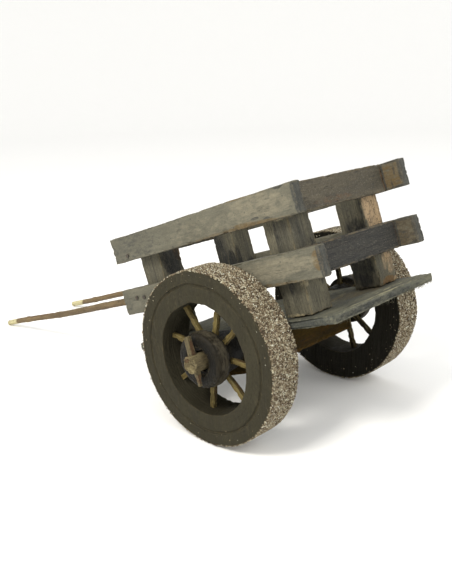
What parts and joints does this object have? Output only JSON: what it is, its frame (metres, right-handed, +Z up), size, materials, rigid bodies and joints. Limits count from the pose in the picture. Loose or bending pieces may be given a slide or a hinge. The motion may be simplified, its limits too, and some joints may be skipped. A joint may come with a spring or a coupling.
{
  "type": "miniature wooden handcart",
  "caption": "Miniature two-wheeled wooden handcart: railed bed on corner posts, fixed axle with peg-held spoked wheels, sanded treads and two stick shafts.",
  "frame": {"origin": "on the ground under the middle of the cart's length and width", "axes": "+Z up, +X towards the open tail of the bed (the shafts lie towards -X), +Y towards the cart's left side"},
  "size_m": [0.3802, 0.1814, 0.1668],
  "materials": {
    "rail_wood": "weathered grey-olive, matt, worn to tan at the ends",
    "cross_rail_wood": "weathered dark grey-brown, matt",
    "post_wood": "weathered, with bare tan wood showing",
    "floor_wood": "weathered grey board with frayed ends",
    "beam_wood": "dark brown, rough",
    "axle_wood": "bare whittled wood",
    "shaft_stick": "natural stick with peeled bark",
    "peg_wood": "bare wooden peg",
    "rim_wood": "turned, stained dark olive-grey",
    "hub_wood": "turned, stained charcoal, slight sheen",
    "spoke_wood": "split yellow-brown stick",
    "tread_sand": "coarse sand glued in a layer",
    "nail_iron": "rusted"
  },
  "bodies": {
    "cart": {"floor_board": "floor_wood", "axle_beam": "beam_wood", "axle": "axle_wood", "linchpin_left": "axle_wood", "linchpin_right": "axle_wood", "post_front_left": "post_wood", "post_tail_left": "post_wood", "lower_rail_left": "rail_wood", "upper_rail_left": "rail_wood", "post_front_right": "post_wood", "post_tail_right": "post_wood", "lower_rail_right": "rail_wood", "upper_rail_right": "rail_wood", "lower_rail_front": "cross_rail_wood", "upper_rail_front": "cross_rail_wood", "lower_rail_tail": "cross_rail_wood", "upper_rail_tail": "cross_rail_wood", "shaft_left": "shaft_stick", "shaft_right": "shaft_stick", "rail_pegs": "peg_wood", "front_nails": "nail_iron", "floor_nails": "nail_iron", "beam_nails": "nail_iron"},
    "wheel_left": {"wheel_rim_left": "rim_wood", "tread_left": "tread_sand", "hub_left": "hub_wood", "spoke_left_1": "spoke_wood", "spoke_left_2": "spoke_wood", "spoke_left_3": "spoke_wood", "spoke_left_4": "spoke_wood", "spoke_left_5": "spoke_wood", "spoke_left_6": "spoke_wood", "spoke_left_7": "spoke_wood", "spoke_left_8": "spoke_wood"},
    "wheel_right": {"wheel_rim_right": "rim_wood", "tread_right": "tread_sand", "hub_right": "hub_wood", "spoke_right_1": "spoke_wood", "spoke_right_2": "spoke_wood", "spoke_right_3": "spoke_wood", "spoke_right_4": "spoke_wood", "spoke_right_5": "spoke_wood", "spoke_right_6": "spoke_wood", "spoke_right_7": "spoke_wood", "spoke_right_8": "spoke_wood"}
  },
  "joints": [
    {"name": "left_wheel_spin", "type": "hinge", "parent": "cart", "child": "wheel_left", "pos_m": [0.11078, 0, 0.0558], "axis": [0, 1, 0], "continuous": true},
    {"name": "right_wheel_spin", "type": "hinge", "parent": "cart", "child": "wheel_right", "pos_m": [0.11078, 0, 0.0558], "axis": [0, 1, 0], "continuous": true}
  ]
}
